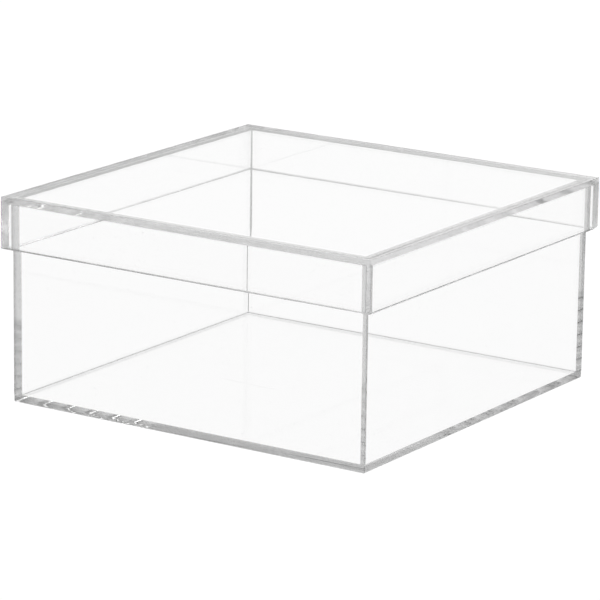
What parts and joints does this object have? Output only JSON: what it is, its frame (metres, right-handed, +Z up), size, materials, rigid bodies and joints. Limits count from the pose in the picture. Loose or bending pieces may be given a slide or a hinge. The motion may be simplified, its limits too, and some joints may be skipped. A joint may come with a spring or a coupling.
{
  "type": "lidded square display box",
  "caption": "Square box of clear acrylic sheet with cemented walls and a loose overlapping lid that lifts straight off, for keeping lipsticks and other small things in view.",
  "frame": {"origin": "middle of the base's underside, on the surface that the box stands on", "axes": "+X to the right along the front, +Y from the front to the back, +Z up, along which the lid lifts"},
  "size_m": [0.2094, 0.2094, 0.102],
  "materials": {
    "clear_acrylic": "polished clear sheet"
  },
  "bodies": {
    "base": {"base_floor": "clear_acrylic", "base_wall_front": "clear_acrylic", "base_wall_back": "clear_acrylic", "base_wall_left": "clear_acrylic", "base_wall_right": "clear_acrylic"},
    "lid": {"lid_top": "clear_acrylic", "lid_skirt_front": "clear_acrylic", "lid_skirt_back": "clear_acrylic", "lid_skirt_left": "clear_acrylic", "lid_skirt_right": "clear_acrylic"}
  },
  "joints": [
    {"name": "lid_lift", "type": "slide", "parent": "base", "child": "lid", "axis": [0, 0, 1], "range_m": [0, 0.06]}
  ]
}
